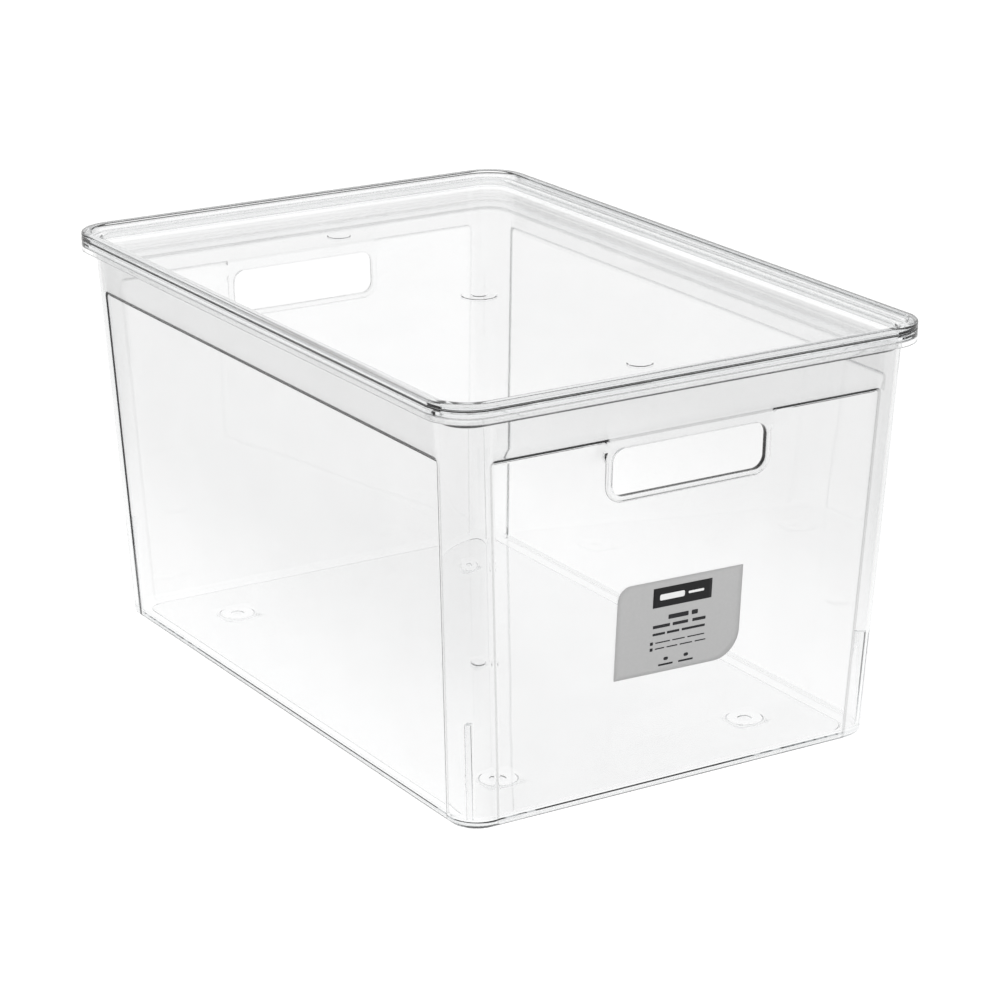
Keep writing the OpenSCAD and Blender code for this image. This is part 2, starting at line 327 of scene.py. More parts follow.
def rounded_line(corners, radii):
    """Profile of straight stretches joined by rounded corners. corners are (reach, z), radii one for each."""
    corners = np.array(corners, float)
    points = [corners[:1]]
    for before, here, after, r in zip(corners[:-2], corners[1:-1], corners[2:], radii[1:-1]):
        to_before = (before - here) / np.hypot(*(before - here))
        to_after = (after - here) / np.hypot(*(after - here))
        points.append(quarter(here + to_before * r, here, here + to_after * r))
    return np.concatenate(points + [corners[-1:]])


slot_past_w, slot_past_h = SLOT_W / 2 - SLOT_R, SLOT_H / 2 - SLOT_R
frame_r = SLOT_R + FRAME_W
window_w, window_h = SLOT_W / 2 + WINDOW, SLOT_H / 2 + WINDOW
around = STEP * np.array([-1.5, -1, -0.5, 0, 0.5, 1, 1.5])
disc_around = STEP * np.array([-1.2, -0.6, 0, 0.6, 1.2])

slot_lines = np.concatenate([slot_past_w + frame_r * ARC_STEPS, [window_w, SLOT_W / 2 + FRAME_W + 3.5],
                             SLOT_W / 2 + FRAME_W + around])
foot_lines = both([0, 2, PIP_R - 0.3, PIP_R + 0.3, 7, *(FOOT_R + disc_around), FOOT_R + 3.5])
mark_lines = both([0, 2, 4, *(FLOOR_MARK_R + disc_around), FLOOR_MARK_R + 3])
foot_x, foot_y = base_centre + WALL_R - FOOT_INSET
end_mid = np.unique(np.concatenate([both(slot_lines), foot_x + foot_lines, -foot_x + foot_lines, mark_lines]))
side_mid = np.unique(np.concatenate([foot_y + foot_lines, -foot_y + foot_lines, mark_lines, [-100, -50, 50, 100]]))
post = POST_W - WALL_R
edge_lines = post + both([0, 0.4, 0.8, 1.4, 2.2, 2.6, 3])
rib_angles = np.degrees(np.arcsin(np.array([0, 0.9, 1.25, 1.4, 1.5]) / (WALL_R - WALL_T)))
corner_angles = 45 + both(np.concatenate([rib_angles, [9, 15, 21, 27, 33, 39, 43.5]]))
loop = Loop(end_mid, side_mid, edge_lines, corner_angles)

wall_run = ledge_top - BEVEL
floor_top = FLOOR_T + RING_H
inner_foot = floor_top + BEVEL
panel_past_z = panel_top - PANEL_R
skirt_foot = lip_top - SKIRT_H
ledge_under = ledge_top - LEDGE_T


def centre_shift(z, foot):
    """How far the corner centres lie in from the rim's at a height: the wall leans evenly from foot to the ledge."""
    return -LEAN * np.clip((ledge_top - z) / (ledge_top - foot), 0, 1)


def wall_steps(z, edge, mid, end_wall, past_z):
    """Share of the sunken panel and of the slot's thick frame at each point of a wall: each is a rounded step
    of the distance to its outline. edge is the distance from the corner's arc, mid from the wall's middle.
    The third value is the painted shade along the panel's outline, most where it runs along the top."""
    p, q = post + PANEL_R - edge, z - past_z
    sideways = np.maximum(p, 0) / np.maximum(np.hypot(np.maximum(p, 0), np.maximum(q, 0)), 1e-6)
    from_panel = past(p, q, PANEL_R)
    panel = step(-from_panel, STEP + (POST_STEP - STEP) * sideways)
    tongue = step(-past(np.abs(mid) - slot_past_w, slot_mid - slot_past_h - z, frame_r)) * end_wall
    post_dark = np.where(end_wall, END_POST_PAINTED_SHADE, SIDE_POST_PAINTED_SHADE)
    dark = step(SHADE_STRIP_HALF - np.abs(from_panel - SHADE_STRIP_MID), 0.15) * (STEP_PAINTED_SHADE + (post_dark - STEP_PAINTED_SHADE) * sideways)
    return panel, tongue, dark * (1 - TONGUE_SHARE * tongue)


def shape_wall(loop, reach, z, foot, face_reach, inner):
    """Wall rows: mesh lines bent round the panel's and the slot's corners, then set in or out by the moulded steps.
    The inner face follows the panel in a shallower step, a little lower. Gives the points and the painted shade along
    the steps, which only the outer face's carry."""
    past_z, set_in = (panel_past_z - INNER_DROP, INNER_SET) if inner else (panel_past_z, PANEL_SET)
    centre = corner + centre_shift(z, foot)[..., None]
    along = loop.along(centre)
    own = np.where(loop.kind == 1, centre[..., 1], centre[..., 0])
    edge = np.where(loop.share == 0, own - np.abs(along), -loop.share * loop.mid)
    z = np.broadcast_to(z, edge.shape)
    by_edge = (loop.kind < 2) & (loop.share != 0)
    by_mid = (loop.kind == 0) & (loop.share == 0)
    p, q = bend(post + PANEL_R - edge, z - past_z, PANEL_R + 2 * STEP, PANEL_R + post)
    new_edge, edge_z = post + PANEL_R - p, past_z + q
    m, n = bend(np.abs(along) - slot_past_w, np.abs(z - slot_mid) - slot_past_h, frame_r + 2 * STEP, frame_r + 3.2)
    new_mid, mid_z = np.sign(along) * (m + slot_past_w), slot_mid + np.sign(z - slot_mid) * (n + slot_past_h)
    slide = np.where(by_edge, loop.share * (edge - new_edge), np.where(by_mid, new_mid - along, 0))
    z = np.where(by_edge, edge_z, np.where(by_mid, mid_z, z))
    edge = np.where(by_edge, new_edge, edge)
    panel, tongue, dark = wall_steps(z, edge, along + slide, loop.kind == 0, past_z)
    tongue = tongue * step(panel_top - z) if inner else tongue
    thick = (FRAME_T - WALL_T) * tongue if inner else 0
    face = face_reach + np.minimum(z - foot, 0) * LEAN / wall_run
    walls = np.minimum(reach, face - set_in * panel * (1 - tongue) - thick)
    reach = np.where(loop.kind < 2, walls, reach)
    centre = corner + centre_shift(z, foot)[..., None]
    # Painted shade on the outer face's steps only, painted lighter on the right and back walls.
    dark = dark * (loop.kind < 2) * np.where(loop.out.sum(1) > 0, FAR_SHADE_SHARE, 1) * (not inner)
    return loop.place(centre, reach, z, slide), dark


def ring_edge(loop):
    """Reach of the base ring's inner edge, whose own corner arcs start further in than the wall's."""
    inset = RING_R + RING_W - WALL_R
    edge = np.abs(loop.mid)
    on_side = np.sqrt(RING_R ** 2 - np.clip(inset - edge, 0, inset) ** 2) - inset
    out = np.abs(loop.out).sum(1)
    in_corner = np.sqrt((inset * out) ** 2 - 2 * inset ** 2 + RING_R ** 2) - inset * out
    return np.where(loop.kind == 2, in_corner, np.where(loop.share == 0, WALL_R - RING_W, on_side))


def shape_ribs(loop, points, z):
    """Corner ribs: the inner corner's middle columns stand upright from the floor to the rib's top, at the
    rib's edge, so the leaning wall draws away behind them."""
    offset = np.where(loop.kind == 2, loop.mid, 99)
    half = np.interp(np.abs(offset), rib_angles, [0, 0.85, 1.2, 1.38, 1.5]) * np.sign(offset)
    edge = WALL_R - WALL_T - RIB_FOOT + np.where(np.abs(np.abs(offset) - rib_angles[3]) < 0.01, 0.2, 0)
    diagonal = np.sign(loop.weight) / math.sqrt(2)
    across = np.c_[-diagonal[:, 1], diagonal[:, 0]]
    foot = np.sign(loop.weight) * base_centre
    out = ((points[..., :2] - foot) * diagonal).sum(-1)
    inside = (loop.kind == 2) & (np.abs(offset) < rib_angles[3] + 0.01) & (out > edge) & (z <= RIB_TOP)
    soft = np.where(z > RIB_TOP - 0.2, 0.3, 0)
    rib = foot + diagonal * (edge + soft)[..., None] + across * half[:, None]
    points[..., :2] = np.where(inside[..., None], rib, points[..., :2])
    return points


def tub_rows():
    """Profile of the tub as rows (reach, z, role): underside, outer wall, rim, inner wall and floor."""
    lower = rounded_line([(12.5, 0), (WALL_R - BEVEL, 0), (WALL_R, BEVEL), (WALL_R, 5)], [0, 0.5, 0.5, 0])
    slot_z = slot_mid + both(np.concatenate([[window_h], slot_past_h + frame_r * ARC_STEPS]))
    frame_z = slot_mid - SLOT_H / 2 - FRAME_W + around
    panel_z = np.concatenate([panel_past_z + PANEL_R * ARC_STEPS, panel_top + around[1:], panel_top - np.array([1.3, 1.0])])
    plain_z = np.array([9, 30, 80, 130, 163, 211, 225])
    wall_z = np.unique(np.round(np.concatenate([plain_z, slot_z, frame_z, panel_z]), 4))
    rim = rounded_line(
        [(WALL_R, skirt_foot), (WALL_R, ledge_under), (RIM_R - SKIRT_T, ledge_under),
         (RIM_R - SKIRT_T, ledge_under - 0.7), (RIM_R - SKIRT_T, skirt_foot), (RIM_R, skirt_foot),
         (RIM_R, lip_top - SHARP), (RIM_R, lip_top), (RIM_R - SKIRT_T, lip_top), (RIM_R - SKIRT_T, ledge_top),
         (WALL_R - WALL_T, ledge_top), (WALL_R - WALL_T, ledge_top - 4)],
        [0, 0.7, 0.6, 0.03, 0.4, 0.25, 0.03, 0.3, 0.4, 0.4, 0.7, 0])
    rib_z = RIB_TOP + np.array([-40, -20, -2, -0.5, -0.1, 0.3, 0.6, 1.5])
    inner_z = np.unique(np.round(np.concatenate([plain_z, slot_z, frame_z, panel_z - INNER_DROP, rib_z]), 4))[::-1]
    inner = WALL_R - WALL_T
    bottom = rounded_line([(inner, 8.5), (inner, inner_foot), (inner - BEVEL, floor_top), (9, floor_top)],
                          [0, 0.9, 0.9, 0])
    parts = [(lower, 1), (np.c_[np.full(len(wall_z), WALL_R), wall_z], 1), (rim, 2),
             (np.c_[np.full(len(inner_z), inner), inner_z], 3), (bottom, 3)]
    return (np.concatenate([p for p, _ in parts]), np.concatenate([np.full(len(p), r) for p, r in parts]), wall_z)


def rim_painted_shade(reach, z):
    """Painted shade on the rim's profile: the lip's outer edge at the parting line, and the ledge's corner behind the
    skirt.
    """
    lip_edge = (reach > RIM_R - SHARP) & (z > lip_top - SHARP)
    from_under = np.maximum(np.abs(reach - RIM_R + SKIRT_T), np.abs(z - ledge_under))
    return np.where(lip_edge, EDGE_PAINTED_SHADE, np.where(from_under < 0.61, UNDER_PAINTED_SHADE, 0))


def tub_surface(loop):
    """All the tub's points (rows, columns, 3), from under the floor, up the outside and down the inside, and the
    painted edge shade at each."""
    rows, role, wall_z = tub_rows()
    reach, z = rows[:, :1], rows[:, 1:]
    outer, outer_painted_shade = shape_wall(loop, reach, z, BEVEL, WALL_R, False)
    inner, _ = shape_wall(loop, reach, z, inner_foot, WALL_R - WALL_T, True)
    lean = centre_shift(z, BEVEL) * np.clip((RIM_R - SKIRT_T - reach) / (RIM_R - SKIRT_T - WALL_R), 0, 1)
    rim = loop.place(corner + lean[..., None], reach + np.zeros(loop.count), z)
    inner = shape_ribs(loop, inner, z)
    surface = np.select([(role == 1)[:, None, None], (role == 2)[:, None, None]], [outer, rim], inner)
    dark = np.select([(role == 1)[:, None], (role == 2)[:, None]], [outer_painted_shade, rim_painted_shade(reach, z)], 0.0)
    edge = ring_edge(loop)
    from_edge = around[:, None]
    ring = loop.place(base_centre, edge + from_edge, RING_H * step(-from_edge))
    first = loop.place(base_centre, np.full((1, loop.count), 0.5), RING_H)
    last = loop.place(base_centre, np.full((1, loop.count), 0.5), floor_top)
    none = np.full(len(ring) + 1, 0)
    dark = np.pad(dark, ((len(none), 1), (0, 0)))
    return (np.concatenate([first, ring, surface, last]), np.concatenate([none, role, [4]]),
            np.concatenate([none, rows[:, 1], [floor_top]]), dark)


def floor_sheet(loop, centre, discs):
    """Flat part of a floor: mesh lines bent into circles round each disc, given as (x, y, radius)."""
    x, y = np.meshgrid(*loop.floor_lines(centre), indexing="ij")
    for x0, y0, r in discs:
        x, y = bend_disc(x, y, x0, y0, r + 2 * STEP, r + 2.9)
    return x, y


def tub_mesh():
    """Points and faces of the closed tub, with its slots cut through, and the painted edge shade at each point."""
    surface, role, row_z, dark = tub_surface(loop)
    rows, count = surface.shape[:2]
    ids = np.arange(rows * count).reshape(rows, count)
    feet = [(sx * foot_x, sy * foot_y, FOOT_R) for sx in (-1, 1) for sy in (-1, 1)]
    x, y = floor_sheet(loop, base_centre, feet)
    under = np.full(x.shape, RING_H)
    for fx, fy, r in feet:
        away = np.hypot(x - fx, y - fy)
        under += -RING_H * step(r - away) + MARK_H * step(PIP_R - away, STEP / 2)
    top_x, top_y = floor_sheet(loop, base_centre, [(0, 0, FLOOR_MARK_R)])
    top = floor_top + MARK_H * step(FLOOR_MARK_R - np.hypot(top_x, top_y))
    points = [surface.reshape(-1, 3), np.stack([x, y, under], -1).reshape(-1, 3),
              np.stack([top_x, top_y, top], -1).reshape(-1, 3)]
    under_base, top_base = ids.size, ids.size + x.size
    under_ids = under_base + np.arange(x.size).reshape(x.shape)
    top_ids = top_base + np.arange(x.size).reshape(x.shape)
    slot_column = (loop.kind == 0) & (loop.share == 0) & (np.abs(loop.mid) <= window_w + 0.01)
    slot_row = (np.abs(row_z - slot_mid) <= window_h + 0.01) & ((role == 1) | (role == 3))
    cut = (slot_column & np.roll(slot_column, -1))[None] & (slot_row[:-1] & slot_row[1:])[:, None]
    quads = np.stack([ids[:-1], np.roll(ids, -1, 1)[:-1], np.roll(ids, -1, 1)[1:], ids[1:]], -1)
    faces = list(quads[~cut])
    faces += list(sheet_faces(under_ids)[:, ::-1]) + list(sheet_faces(top_ids))
    faces += band_faces(loop.floor_border(under_base), ids[0]) + band_faces(ids[-1], loop.floor_border(top_base))
    used, slot_painted_shade = top_base + x.size, []
    edge = rounded_line([(WINDOW, 0), (0, 0), (0, FRAME_T), (WINDOW, FRAME_T)], [0, SLOT_EDGE, SLOT_EDGE, 0])[1:-1]
    for outward in (-1, 1):
        columns = np.flatnonzero(slot_column & (loop.out[:, 1] == outward))
        outside, inside = np.flatnonzero(slot_row & (role == 1)), np.flatnonzero(slot_row & (role == 3))[::-1]
        t, z = np.meshgrid(loop.mid[columns], row_z[outside], indexing="ij")
        border = [around_edge(a) for a in (t, z, ids[np.ix_(outside, columns)].T, ids[np.ix_(inside, columns)].T)]
        rings = slot_rings(border[0], border[1], edge, outward)
        ring_ids = used + np.arange(rings.shape[0] * rings.shape[1]).reshape(rings.shape[:2])
        chain = [border[2], *ring_ids, border[3]]
        for lower, upper in zip(chain[:-1], chain[1:]):
            faces += band_faces(lower, upper)
        points.append(rings.reshape(-1, 3))
        # Painted shade in the middle of the slot's rounded edge, painted lighter on the back wall's slot.
        through = np.clip(1.5 - np.abs(np.arange(len(edge)) - (len(edge) - 1) / 2) / 1.5, 0, 1)
        slot_painted_shade.append(np.repeat(through * SLOT_PAINTED_SHADE * (FAR_SHADE_SHARE if outward == 1 else 1), rings.shape[1]))
        used += ring_ids.size
    floors = np.zeros(2 * x.size)
    return np.concatenate(points), faces, np.concatenate([dark.ravel(), floors, *slot_painted_shade])


def around_edge(a):
    """Border of a grid (columns, rows) as one closed ring: along the bottom, up, back along the top and down."""
    return np.concatenate([a[:, 0], a[-1, 1:], a[-2::-1, -1], a[0, -2:0:-1]])


def slot_rings(t, z, edge, outward):
    """Rings through the slot: each point keeps its direction from the slot's core and takes the edge profile's
    distance from the slot's outline and depth from the wall's face. Points (rings, border, 3)."""
    p, q = np.abs(t) - slot_past_w, np.abs(z - slot_mid) - slot_past_h
    p_out, q_out = np.maximum(p, 0), np.maximum(q, 0)
    length = np.hypot(p_out, q_out)
    core_t, core_z = np.clip(t, -slot_past_w, slot_past_w), np.clip(z - slot_mid, -slot_past_h, slot_past_h)
    ring_t = core_t + np.sign(t) * p_out / length * (SLOT_R + edge[:, :1])
    ring_z = slot_mid + core_z + np.sign(z - slot_mid) * q_out / length * (SLOT_R + edge[:, :1])
    out = corner[1] + centre_shift(ring_z, BEVEL) + WALL_R - edge[:, 1:]
    return np.stack([-outward * ring_t, outward * out, ring_z], -1)


def clear_plastic(name, side_painted_shade, end_painted_shade, band_painted_shade):
    """Clear polished plastic: glass-like, with a grey absorption along its path inside. Its base colour carries painted
    shade: the long sides greyer up their height, the rest evenly grey above the floor, the band under the rim greyest
    but less in its corners, none on the rim, and the sharp edges' painted shade from the mesh attribute; with a faint
    mottle and haze."""
    finish = bpy.data.materials.new(name)
    finish.use_nodes = True
    tree = finish.node_tree
    shader = tree.nodes["Principled BSDF"]
    shader.inputs["Transmission Weight"].default_value = 1
    shader.inputs["IOR"].default_value = 1.5
    place = tree.nodes.new("ShaderNodeTexCoord")
    parts = tree.nodes.new("ShaderNodeSeparateXYZ")
    link(tree, place.outputs["Object"], parts.inputs[0])

    def ramp(source, low, high, to_low, to_high):
        """Smooth rise of a value between two places."""
        spread = tree.nodes.new("ShaderNodeMapRange")
        spread.interpolation_type = "SMOOTHSTEP"
        spread.inputs["From Min"].default_value = low
        spread.inputs["From Max"].default_value = high
        spread.inputs["To Min"].default_value = to_low
        spread.inputs["To Max"].default_value = to_high
        link(tree, source, spread.inputs["Value"])
        return spread.outputs["Result"]

    def combine(operation, first, second):
        """Sum or product of two values."""
        node = tree.nodes.new("ShaderNodeMath")
        node.operation = operation
        for n, value in enumerate((first, second)):
            if isinstance(value, float):
                node.inputs[n].default_value = value
            else:
                link(tree, value, node.inputs[n])
        return node.outputs[0]

    haze = tree.nodes.new("ShaderNodeTexNoise")
    haze.inputs["Scale"].default_value = 25
    haze.inputs["Detail"].default_value = 3
    link(tree, place.outputs["Object"], haze.inputs["Vector"])
    aside = combine("ABSOLUTE", parts.outputs["X"], 0.0)
    # Painted shade: the long sides greyer up their height, the rest evenly grey above the floor.
    height = ramp(parts.outputs["Z"], 0.003, 0.15, 0.0, side_painted_shade)
    on_side = ramp(aside, 0.116, 0.128, 0.0, 1.0)
    over_floor = ramp(parts.outputs["Z"], 0.003, 0.006, 0.0, end_painted_shade)
    on_end = combine("MULTIPLY", combine("SUBTRACT", 1.0, on_side), over_floor)
    wall_painted_shade = combine("ADD", combine("MULTIPLY", on_side, height), on_end)
    # Painted shade in the band under the rim, left out in its corners, and none on the rim itself.
    band = ramp(parts.outputs["Z"], 0.2045, 0.2055, 0.0, band_painted_shade)
    rim = ramp(parts.outputs["Z"], 0.2285, 0.2295, 1.0, 0.0)
    along = combine("ABSOLUTE", parts.outputs["Y"], 0.0)
    in_corner = combine("MULTIPLY", ramp(aside, 0.119, 0.123, 0.0, 1.0), ramp(along, 0.189, 0.193, 0.0, 1.0))
    band = combine("MULTIPLY", band, combine("SUBTRACT", 1.0, in_corner))
    grey = combine("MULTIPLY", combine("ADD", wall_painted_shade, band), rim)
    # The total grey is painted shade plus a faint random mottle.
    grey = combine("ADD", grey, ramp(haze.outputs["Fac"], 0.3, 0.7, 0.0, 0.012))
    # Painted shade of the sharp edges, from the mesh attribute, taken off the white base colour with the painted wall
    # shade.
    edge = tree.nodes.new("ShaderNodeAttribute")
    edge.attribute_name = "painted_edge_shade"
    clear = combine("MAXIMUM", combine("SUBTRACT", combine("SUBTRACT", 1.0, grey), edge.outputs["Fac"]), 0.0)
    tone = tree.nodes.new("ShaderNodeCombineColor")
    for channel in ("Red", "Green", "Blue"):
        link(tree, clear, tone.inputs[channel])
    link(tree, tone.outputs["Color"], shader.inputs["Base Color"])
    link(tree, ramp(haze.outputs["Fac"], 0.3, 0.7, 0.0, 0.02), shader.inputs["Roughness"])
    waves = tree.nodes.new("ShaderNodeTexNoise")
    waves.inputs["Scale"].default_value = 14
    waves.inputs["Detail"].default_value = 1
    link(tree, place.outputs["Object"], waves.inputs["Vector"])
    bump = tree.nodes.new("ShaderNodeBump")
    bump.inputs["Strength"].default_value = 1
    bump.inputs["Distance"].default_value = 0.0001
    link(tree, waves.outputs["Fac"], bump.inputs["Height"])
    link(tree, bump.outputs["Normal"], shader.inputs["Normal"])
    tint = tree.nodes.new("ShaderNodeVolumeAbsorption")
    tint.inputs["Color"].default_value = (0.80, 0.81, 0.815, 1)
    tint.inputs["Density"].default_value = 60
    link(tree, tint.outputs["Volume"], tree.nodes["Material Output"].inputs["Volume"])
    return finish


tub_points, tub_faces, tub_painted_shade = tub_mesh()
# The tub's base colour carries painted shade: 0.15 up the long sides, 0.06 on the rest above the floor and 0.08 more in
# the band under the rim.
tub_plastic = clear_plastic("tub_plastic", 0.15, 0.06, 0.08)
tub = make_piece("clear_tub", tub_points, tub_faces, tub_plastic, "tub", tub_painted_shade)
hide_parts("tub")

# Lid. One clear injection moulding that lifts off. A raised ridge stands over the tub's lip, its seat lies on
# the tub's ledge, and its middle is sunk, so that another box can stand on it.
LID_T, SEAT_GAP = 2.0, 0.08
RIDGE_W, RIDGE_SLOPE_W, RIDGE_EDGE_R = 5.2, 1.6, 1.2
LID_WELL, WELL_CLEAR, WELL_EDGE_R = 10.0, 0.4, 1.2
DISC_R, BUTTON_R, DOT_R, LID_MARK_H, MARK_STEP = 10.25, 4.5, 7.0, 0.25, 0.25
DOT_INSET = 46.0

lid_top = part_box("lid")[1].z / MM
seat_top = ledge_top + LID_T
well_top = seat_top - LID_WELL
well_under = well_top - LID_T
well_out = WALL_R - WALL_T - LEAN * (ledge_top - well_under) / wall_run - WELL_CLEAR
well_in = well_out - LID_T
dot_y = corner[1] + well_in - DOT_INSET

mark_around = MARK_STEP * np.array([-3, -2, -1, 0, 1, 2, 3])
button_lines = np.concatenate([[1.5, 3], BUTTON_R + mark_around])
dot_lines = DOT_R + mark_around
disc_lines = np.concatenate([DISC_R + mark_around, [DISC_R + 3.5]])
lid_across = both(np.concatenate([[0], button_lines, dot_lines, disc_lines]))
dot_across = both(np.concatenate([[0, 1.5, 3, 4.5], dot_lines, [DOT_R + 3]]))
lid_along = np.unique(np.concatenate([lid_across, dot_y + dot_across, -dot_y + dot_across]))
lid_loop = Loop(lid_across, lid_along, np.array([0, 1.5]), 45 + both(4.5 * np.arange(10)))


def lid_section():
    """Section of the lid as (reach, z), from its underside, up the well, over the seat and round the ridge."""
    under = ledge_top + SEAT_GAP
    ridge, ridge_foot = RIM_R - RIDGE_W, RIM_R - RIDGE_W - RIDGE_SLOPE_W
    key, skirt_low = RIM_R - SKIRT_T - PARTING, lip_top + PARTING
    return rounded_line(
        [(9, well_under), (well_out, well_under), (well_out, under), (key, under), (key, skirt_low),
         (RIM_R, skirt_low), (RIM_R, skirt_low + SHARP), (RIM_R, lid_top), (ridge, lid_top),
         (ridge_foot, seat_top), (well_in, seat_top), (well_in, well_top), (9, well_top)],
        [0, 1.6, 0.6, 0.3, 0.2, 0.3, 0.03, RIDGE_EDGE_R, 0.8, 0.6, WELL_EDGE_R, 1.0, 0])


def lid_mesh():
    """Points and faces of the closed lid: its section carried round the rim, closed by the two faces of its sunken
    panel. The round marks there are rounded steps of the distance from their middles. The third value is the painted
    shade at each point, which only the skirt's lower edge carries, over the parting line."""
    rows = lid_section()
    rows = np.concatenate([[(0.5, well_under)], rows, [(0.5, well_top)]])
    sweep = lid_loop.place(corner, rows[:, :1] + np.zeros(lid_loop.count), rows[:, 1:])
    discs = [(0, 0, DISC_R), (0, dot_y, DOT_R), (0, -dot_y, DOT_R)]
    x, y = floor_sheet(lid_loop, corner, discs)
    top = well_top + LID_MARK_H * step(BUTTON_R - np.hypot(x, y), MARK_STEP)
    for x0, y0, r in discs:
        top += LID_MARK_H * step(r - np.hypot(x - x0, y - y0), MARK_STEP)
    ids = np.arange(len(rows) * lid_loop.count).reshape(len(rows), -1)
    under_ids = ids.size + np.arange(x.size).reshape(x.shape)
    top_ids = under_ids + x.size
    faces = list(np.stack([ids[:-1], np.roll(ids, -1, 1)[:-1], np.roll(ids, -1, 1)[1:], ids[1:]], -1).reshape(-1, 4))
    faces += list(sheet_faces(under_ids)[:, ::-1]) + list(sheet_faces(top_ids))
    faces += band_faces(lid_loop.floor_border(ids.size), ids[0])
    faces += band_faces(ids[-1], lid_loop.floor_border(ids.size + x.size))
    under = np.stack([x, y, np.full(x.shape, well_under)], -1)
    points = np.concatenate([sweep.reshape(-1, 3), under.reshape(-1, 3), np.stack([x, y, top], -1).reshape(-1, 3)])
    # Painted shade along the skirt's lower edge, over the parting line.
    lower_edge = (rows[:, 0] > RIM_R - SHARP) & (rows[:, 1] < lip_top + PARTING + SHARP)
    dark = np.repeat(lower_edge * EDGE_PAINTED_SHADE, lid_loop.count)
    return points, faces, np.pad(dark, (0, len(points) - dark.size))


lid_points, lid_faces, lid_painted_shade = lid_mesh()
lid_plastic = clear_plastic("lid_plastic", 0.0, 0.0, 0.0)
lid = make_piece("clear_lid", lid_points, lid_faces, lid_plastic, "lid", lid_painted_shade)
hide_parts("lid")

# Label. A grey self-adhesive paper label on the front wall's sunken panel, cut with one small and one large
# rounded corner.
LABEL_W, LABEL_H, LABEL_T = 80.0, 53.0, 0.2
LABEL_SHIFT, LABEL_LOW = -2.5, 68.0
LABEL_SMALL_R, LABEL_LARGE_R, LABEL_SHARP_R = 8.0, 16.0, 0.4
GLUE_GAP = 0.04
LABEL_TURN = math.radians(-1.0)

lean_angle = math.atan(LEAN / wall_run)
label_mid_up = (LABEL_LOW - BEVEL) / math.cos(lean_angle) + LABEL_H / 2


def cut_outline(w, h, radii, steps=10):
    """Closed outline (n, 2) of a sheet w by h, each corner a quarter circle of its own radius, anticlockwise
    from the lower right one."""
    quarter_turn = np.linspace(0, math.pi / 2, steps)
    arcs = []
    for n, (sx, sy) in enumerate(((1, -1), (1, 1), (-1, 1), (-1, -1))):
        turn = quarter_turn + math.pi / 2 * (n - 1)
        middle = np.array([sx * (w / 2 - radii[n]), sy * (h / 2 - radii[n])])
        arcs.append(middle + radii[n] * np.c_[np.cos(turn), np.sin(turn)])
    return np.concatenate(arcs)


def on_label(along, up, out):
    """Points of the front panel's plane, from the label's middle: along the wall, up its slope and out from it,
    turned a little about the label's left edge, as it was stuck on by hand."""
    left = along + LABEL_W / 2
    along, up = left * math.cos(LABEL_TURN) + up * math.sin(-LABEL_TURN) - LABEL_W / 2, up + left * math.sin(LABEL_TURN)
    up = label_mid_up + up
    y = base_centre[1] + WALL_R - PANEL_SET + up * math.sin(lean_angle) + out * math.cos(lean_angle)
    z = BEVEL + up * math.cos(lean_angle) - out * math.sin(lean_angle)
    return np.stack(np.broadcast_arrays(LABEL_SHIFT + along, -y, z), -1)


def cut_sheet(outline, middle, out, thick, first=0):
    """Thin sheet on the panel: rings of its outline drawn in to its middle, on both faces. Vertex numbers start
    at first."""
    count = len(outline)
    rings = np.array([0.3, 0.6, 0.9, 1, 1, 0.9, 0.6, 0.3])[:, None]
    depth = out + thick * np.array([1, 1, 1, 1, 0, 0, 0, 0])[:, None]
    shell = on_label(middle[0] + outline[:, 0] * rings, middle[1] + outline[:, 1] * rings, depth)
    hubs = on_label(np.full(2, middle[0]), np.full(2, middle[1]), np.array([out + thick, out]))
    ids = first + np.arange(8 * count).reshape(8, count)
    chain = [np.full(count, first + 8 * count), *ids, np.full(count, first + 8 * count + 1)]
    faces = []
    for inner, outer in zip(chain[:-1], chain[1:]):
        faces += [f[::-1] for f in band_faces(inner, outer)]
    return np.concatenate([shell.reshape(-1, 3), hubs]), faces


def label_paper(name, colour, roughness):
    """Coated paper or ink: one colour with a faint mottle and a fine grain in the surface."""
    finish = bpy.data.materials.new(name)
    finish.use_nodes = True
    tree = finish.node_tree
    shader = tree.nodes["Principled BSDF"]
    shader.inputs["Roughness"].default_value = roughness
    shader.inputs["Specular IOR Level"].default_value = 0.15
    place = tree.nodes.new("ShaderNodeTexCoord")
    mottle = tree.nodes.new("ShaderNodeTexNoise")
    mottle.inputs["Scale"].default_value = 600
    mottle.inputs["Detail"].default_value = 4
    link(tree, place.outputs["Object"], mottle.inputs["Vector"])
    shade = tree.nodes.new("ShaderNodeMix")
    shade.data_type = "RGBA"
    shade.inputs["A"].default_value = (*(c * 0.96 for c in colour), 1)
    shade.inputs["B"].default_value = (*(c * 1.04 for c in colour), 1)
    link(tree, mottle.outputs["Fac"], shade.inputs["Factor"])
    link(tree, shade.outputs["Result"], shader.inputs["Base Color"])
    grain = tree.nodes.new("ShaderNodeBump")
    grain.inputs["Strength"].default_value = 0.3
    grain.inputs["Distance"].default_value = 0.00002
    link(tree, mottle.outputs["Fac"], grain.inputs["Height"])
    link(tree, grain.outputs["Normal"], shader.inputs["Normal"])
    return finish


label_outline = cut_outline(LABEL_W, LABEL_H, [LABEL_LARGE_R, LABEL_SHARP_R, LABEL_SMALL_R, LABEL_SHARP_R])
label_points, label_faces = cut_sheet(label_outline, (0, 0), GLUE_GAP, LABEL_T)
label = make_piece("label_paper", label_points, label_faces, label_paper("label_paper", (0.46, 0.46, 0.46), 0.55),
                   "tub")
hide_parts("label")

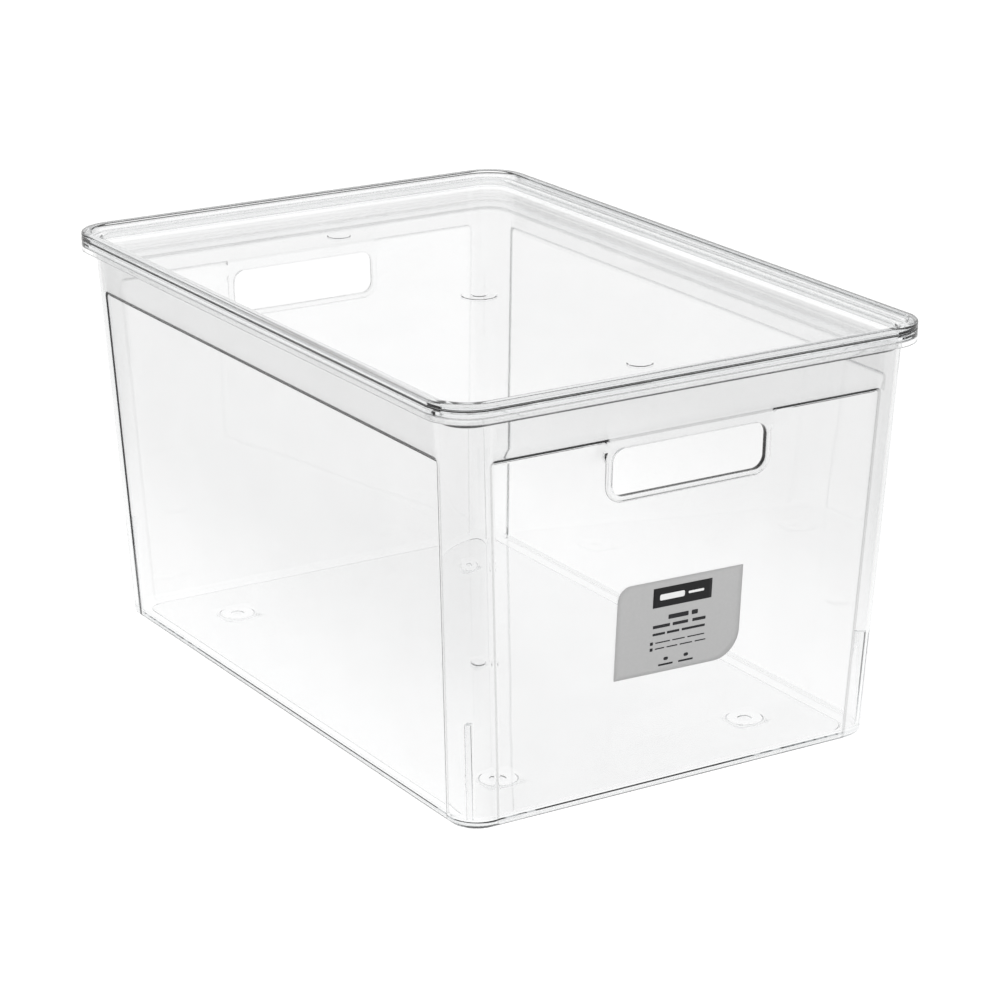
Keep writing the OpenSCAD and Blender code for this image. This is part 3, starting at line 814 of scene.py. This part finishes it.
# Print on the label. Plain blocks and bars of black ink, and two pale bars left open in the largest block.
INK_T, INK_GAP = 0.01, 0.01
BLOCK = (1.4, 16.6, 37.8, 11.2)
WORD_BARS = [
    (-0.5, 4.6, 13, 2.6), (10, 4.6, 4, 2.6),
    (-11.2, 0.1, 11, 1.8), (1, 0.1, 10, 1.8), (13, 0.1, 8.6, 1.8),
    (-12.6, -4.2, 8, 1.4), (-3.4, -4.2, 8, 1.4), (9.6, -4.2, 15, 1.4),
    (-17, -9.2, 1.9, 1.9), (-17, -12.6, 1.9, 1.9),
    (-9.8, -9.2, 9.4, 0.7), (0.4, -9.2, 8, 0.7), (11.6, -9.2, 11, 0.7),
    (-11.6, -12.6, 6, 0.7), (-3.6, -12.6, 7, 0.7), (5.4, -12.6, 8, 0.7), (14.6, -12.6, 7, 0.7),
    (-7.2, -22.4, 9.4, 1.1), (5.8, -22.4, 9.4, 1.1)]
SPOTS = [(-7.2, -19.2, 3.0, 1.9), (5.8, -19.2, 3.0, 1.9)]
PALE_BARS = [(-5.2, 16.6, 16, 3.4), (10.2, 16.6, 10, 1.4)]


def print_pieces(bars, corner_share, out):
    """Inked bars as thin sheets. Each bar is (middle along, middle up, width, height), and corner_share is its
    corner radius over its smaller side."""
    points, faces, used = [], [], 0
    for along, up, w, h in bars:
        outline = cut_outline(w, h, [min(w, h) * corner_share] * 4, 5)
        sheet, sheet_quads = cut_sheet(outline, (along, up), out, INK_T, used)
        points.append(sheet)
        faces += sheet_quads
        used += len(sheet)
    return np.concatenate(points), faces


ink_out = GLUE_GAP + LABEL_T + INK_GAP
for name, bars, share, out, colour in (
        ("label_block", [BLOCK], 0.03, ink_out, (0.012, 0.012, 0.013)),
        ("label_bars", WORD_BARS, 0.2, ink_out, (0.02, 0.02, 0.022)),
        ("label_spots", SPOTS, 0.49, ink_out, (0.02, 0.02, 0.022)),
        ("label_pale_bars", PALE_BARS, 0.3, ink_out + INK_T + INK_GAP, (0.8, 0.8, 0.8))):
    ink_points, ink_faces = print_pieces(bars, share, out)
    make_piece(name, ink_points, ink_faces, label_paper(name, colour, 0.4), "tub")
